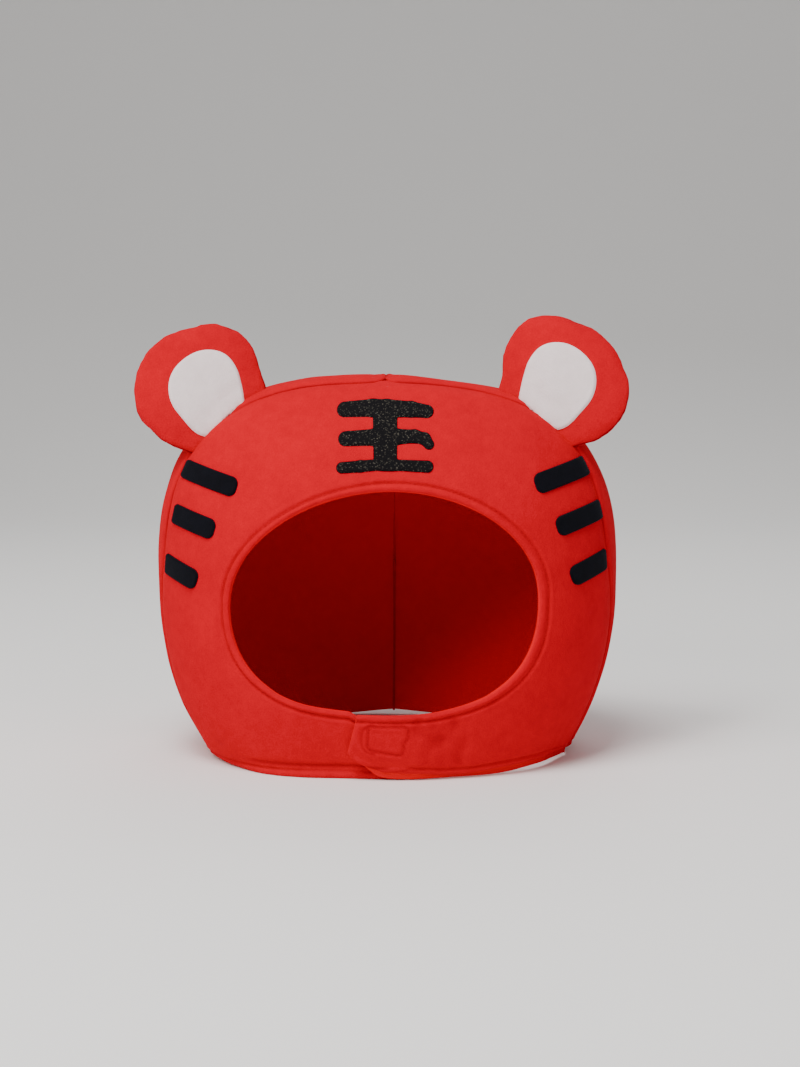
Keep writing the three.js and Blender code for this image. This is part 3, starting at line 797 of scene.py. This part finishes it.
def plush(name, deep, mid, lit, inside, sheen_tint, sheen):
    """Crystal velvet: a knitted polyester cloth with a dense pile of about 1.5 mm. The pile leans in
    soft patches 10 to 40 mm across, lighter or deeper by the way it leans. Painted shade darkens the
    stitched valleys, the red lining is painted lighter as light in the shaded inside, and the pile's
    tips glow at the cloth's edges."""
    material, tree = new_material(name)
    place = node(tree, "ShaderNodeTexCoord").outputs["Object"]
    patches = node(tree, "ShaderNodeTexNoise", {"Vector": place}, Scale=38, Detail=3, Roughness=0.55)
    streaks = node(tree, "ShaderNodeTexNoise", {"Vector": place}, Scale=160, Detail=2, Roughness=0.6)
    # Pile tufts are about 0.3 mm: drawn at 0.9 mm so that they show.
    tufts = node(tree, "ShaderNodeTexNoise", {"Vector": place}, Scale=1100, Detail=2, Roughness=0.7)
    fuzz = tufts.outputs["Fac"]
    lean = node(
        tree, "ShaderNodeMath", {0: patches.outputs["Fac"], 1: streaks.outputs["Fac"]}, operation="ADD"
    )
    grain = node(tree, "ShaderNodeMath", {0: fuzz}, operation="MULTIPLY")
    grain.inputs[1].default_value = 0.5
    both = node(tree, "ShaderNodeMath", {0: lean.outputs[0], 1: grain.outputs[0]}, operation="ADD")
    span = {"From Min": 0.7, "From Max": 1.8}
    ramp = node(tree, "ShaderNodeMapRange", {"Value": both.outputs[0]}, **span)
    tone = mixed_colour(tree, ramp.outputs[0], mid, lit)
    # Painted light: the lining side takes the inside colour, for the red cloth lighter than its
    # outside, to brighten the shaded interior.
    lining = node(tree, "ShaderNodeAttribute", attribute_name="lining")
    painted_lining_light = mixed_colour(tree, lining.outputs["Fac"], tone, inside)
    # Painted shade: valleys, seams and folds are darkened towards the deep colour.
    valley = node(tree, "ShaderNodeAttribute", attribute_name="valley")
    painted_valley_shade = mixed_colour(tree, valley.outputs["Fac"], painted_lining_light, deep)
    pile = node(tree, "ShaderNodeBump", {"Height": fuzz}, Strength=0.55, Distance=0.0005)
    nap = node(
        tree,
        "ShaderNodeBump",
        {"Height": streaks.outputs["Fac"], "Normal": pile.outputs[0]},
        Strength=0.28,
        Distance=0.001,
    )
    finish_material(
        tree,
        {"Base Color": painted_valley_shade, "Normal": nap.outputs[0]},
        Roughness=0.92,
        IOR=1.45,
        **{
            "Specular IOR Level": 0.05,
            "Sheen Weight": sheen,
            "Sheen Roughness": 0.45,
            "Sheen Tint": linear(sheen_tint),
        },
    )
    return material


def felt(name, dark, light):
    """Needled wool felt, dyed black: matte, with short crossed fibres and a cool bloom."""
    material, tree = new_material(name)
    place = node(tree, "ShaderNodeTexCoord").outputs["Object"]
    # Fibres are about 0.03 mm: drawn as wisps of 1.1 mm with finer ones between them.
    crossing = {"Scale": 900, "Detail": 4, "Roughness": 0.7, "Distortion": 1.5}
    wisps = node(tree, "ShaderNodeTexNoise", {"Vector": place}, **crossing)
    cloud = node(tree, "ShaderNodeTexNoise", {"Vector": place}, Scale=120, Detail=2)
    mixed = node(
        tree, "ShaderNodeMath", {0: wisps.outputs["Fac"], 1: cloud.outputs["Fac"]}, operation="MULTIPLY"
    )
    tone = mixed_colour(tree, mixed.outputs[0], dark, light)
    bump = node(tree, "ShaderNodeBump", {"Height": wisps.outputs["Fac"]}, Strength=0.6, Distance=0.0004)
    finish_material(
        tree,
        {"Base Color": tone, "Normal": bump.outputs[0]},
        Roughness=0.95,
        **{"Specular IOR Level": 0.08, "Sheen Weight": 0.04, "Sheen Tint": linear("#8A90A8")},
    )
    return material


def glitter_cloth(name, cloth, fleck):
    """Black cloth with fine metallic flecks pressed into its face, which catch the light one by one."""
    material, tree = new_material(name)
    place = node(tree, "ShaderNodeTexCoord").outputs["Object"]
    # Flecks are about 0.2 mm: drawn at 0.6 mm, each cell with its own chance of shining.
    cells = node(tree, "ShaderNodeTexVoronoi", {"Vector": place}, Scale=1600)
    chance = node(tree, "ShaderNodeSeparateColor", {"Color": cells.outputs["Color"]})
    shining = node(
        tree, "ShaderNodeMapRange", {"Value": chance.outputs[0]}, **{"From Min": 0.86, "From Max": 1.2}
    )
    tone = mixed_colour(tree, shining.outputs[0], cloth, fleck)
    metal = node(tree, "ShaderNodeMath", {0: shining.outputs[0]}, operation="MULTIPLY")
    metal.inputs[1].default_value = 0.6
    gloss = node(
        tree, "ShaderNodeMapRange", {"Value": shining.outputs[0]}, **{"To Min": 0.9, "To Max": 0.45}
    )
    bump = node(tree, "ShaderNodeBump", {"Height": chance.outputs[1]}, Strength=0.7, Distance=0.0004)
    sources = {
        "Base Color": tone,
        "Metallic": metal.outputs[0],
        "Roughness": gloss.outputs[0],
        "Normal": bump.outputs[0],
    }
    finish_material(tree, sources, **{"Specular IOR Level": 0.15})
    return material


def thread_of(name, dark, light):
    """Spun polyester thread, a little smoother than the pile round it, with the twist of its plies."""
    material, tree = new_material(name)
    place = node(tree, "ShaderNodeTexCoord").outputs["Object"]
    twist = node(tree, "ShaderNodeTexNoise", {"Vector": place}, Scale=1400, Detail=1)
    tone = mixed_colour(tree, twist.outputs["Fac"], dark, light)
    finish_material(tree, {"Base Color": tone}, Roughness=0.75, **{"Specular IOR Level": 0.1})
    return material


def loop_tape(name, near, far):
    """Woven nylon fastener tape: a mat of fine loops in rows about 1 mm apart."""
    material, tree = new_material(name)
    place = node(tree, "ShaderNodeTexCoord").outputs["Object"]
    loops = node(tree, "ShaderNodeTexVoronoi", {"Vector": place}, Scale=1000)
    apart = loops.outputs["Distance"]
    # Painted shade: the tape darkens away from each loop's middle, into the gaps between the loops.
    tone = mixed_colour(tree, apart, near, far)
    bump = node(tree, "ShaderNodeBump", {"Height": apart}, Strength=0.8, Distance=0.0006)
    finish_material(tree, {"Base Color": tone, "Normal": bump.outputs[0]}, Roughness=0.7)
    return material


# Plush colours: painted valley shade, two random pile tones, the lining, which for the red is a lighter
# red painted in as light, and the sheen tint.
red_plush = plush("red_crystal_velvet", "#700008", "#B40018", "#CA001C", "#D80018", "#FF0810", 0.2)
white_plush = plush("white_crystal_velvet", "#A79292", "#E4D2D2", "#F3E4E4", "#E4D2D2", "#FFFFFF", 0.2)
black_felt = felt("black_wool_felt", "#050508", "#14141E")
mark_cloth = glitter_cloth("black_flecked_cloth", "#09070A", "#746E60")
red_thread = thread_of("red_polyester_thread", "#9C0010", "#C60018")
tape = loop_tape("red_fastener_tape", "#B01217", "#5E070A")


def dress(piece, material, slot, *nodes_replaced):
    piece.data.materials.clear()
    piece.data.materials.append(material)
    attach(piece, "root")
    if nodes_replaced:
        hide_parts(*nodes_replaced)


dress(panel, red_plush, "red_plush", "front_panel")
dress(crown_right, red_plush, "red_plush", "crown_right")
dress(crown_left, red_plush, "red_plush", "crown_left")
for piece in (centre_tape, crossing):
    dress(piece, red_plush, "red_plush")
for piece in threads:
    dress(piece, red_thread, "red_plush")
for name, ear in ears.items():
    dress(ear, red_plush, "red_plush", f"ear_{name}")
for name, patch in zip(ear_places, patches):
    dress(patch, white_plush, "white_plush", f"inner_ear_{name}")
for name, stripe in stripes.items():
    dress(stripe, black_felt, "stripe_felt", f"stripe_{name}")
dress(mark, mark_cloth, "mark_fabric", "forehead_mark")
solids["fastener_patch"].data.materials.clear()
solids["fastener_patch"].data.materials.append(tape)


# The studio


def studio():
    """A pale floor that runs up into a wall, with soft light from the front left and above."""
    deselect()
    bpy.ops.mesh.primitive_plane_add(size=8, location=(0, 0, -0.0002))
    floor = bpy.context.object
    floor.name = "studio_floor"
    pick(floor)
    bpy.ops.object.mode_set(mode="EDIT")
    bpy.ops.mesh.select_all(action="DESELECT")
    bpy.ops.object.mode_set(mode="OBJECT")
    for edge in floor.data.edges:
        edge.select = all(floor.data.vertices[i].co.y > 3 for i in edge.vertices)
    bpy.ops.object.mode_set(mode="EDIT")
    bpy.ops.mesh.select_mode(type="EDGE")
    bpy.ops.mesh.extrude_region_move(TRANSFORM_OT_translate={"value": (0, 0, 5)})
    bpy.ops.object.mode_set(mode="OBJECT")
    for edge in floor.data.edges:
        ends = [floor.data.vertices[i].co for i in edge.vertices]
        edge.select = all(end.y > 3 and end.z < 1 for end in ends)
    bpy.ops.object.mode_set(mode="EDIT")
    bpy.ops.mesh.bevel(offset=2.4, segments=24, profile=0.5)
    bpy.ops.object.mode_set(mode="OBJECT")
    bpy.ops.object.shade_smooth()
    material, tree = new_material("pale_paper")
    finish_material(tree, {}, Roughness=0.9, **{"Base Color": linear("#F4F2F0")})
    floor.data.materials.append(material)
    for name, place, aim, size, power, colour in (
        ("key", (-1.15, -1.15, 2.0), (0, -0.02, 0.13), 1.0, 24, "#FFFFFF"),
        ("lamp", (-1.0, -1.75, 1.03), (0, -0.02, 0.13), 0.45, 14, "#FFFAF4"),
        ("top", (-0.3, -0.9, 2.1), (0, -0.06, 0.2), 0.8, 34, "#FFFFFF"),
        ("fill", (1.5, -1.6, 1.3), (0, 0, 0.12), 1.4, 6, "#FFFFFF"),
        ("rim", (0.3, 1.6, 1.6), (0, 0, 0.15), 1.2, 9, "#FFFFFF"),
    ):
        light = bpy.data.lights.new(name, "AREA")
        light.size = size
        light.energy = power
        light.color = linear(colour)[:3]
        lamp = bpy.data.objects.new(name, light)
        bpy.context.scene.collection.objects.link(lamp)
        lamp.location = place
        lamp.rotation_euler = (Vector(aim) - Vector(place)).to_track_quat("-Z", "Y").to_euler()
    world = bpy.data.worlds.new("soft_room")
    world.use_nodes = True
    world.node_tree.nodes["Background"].inputs["Color"].default_value = linear("#F8F8F8")
    world.node_tree.nodes["Background"].inputs["Strength"].default_value = 0.35
    bpy.context.scene.world = world


def camera():
    """Stands where the photograph was taken from."""
    down, round_ = math.radians(5.5), math.radians(2.0)
    view = bpy.data.cameras.new("photograph")
    view.sensor_width = 36
    view.lens = 61.72
    eye = bpy.data.objects.new("photograph", view)
    bpy.context.scene.collection.objects.link(eye)
    eye.location = (0.04951, -1.19212, 0.25405)
    eye.rotation_euler = Euler((math.pi / 2 - down, 0, round_))
    bpy.context.scene.camera = eye


studio()
camera()
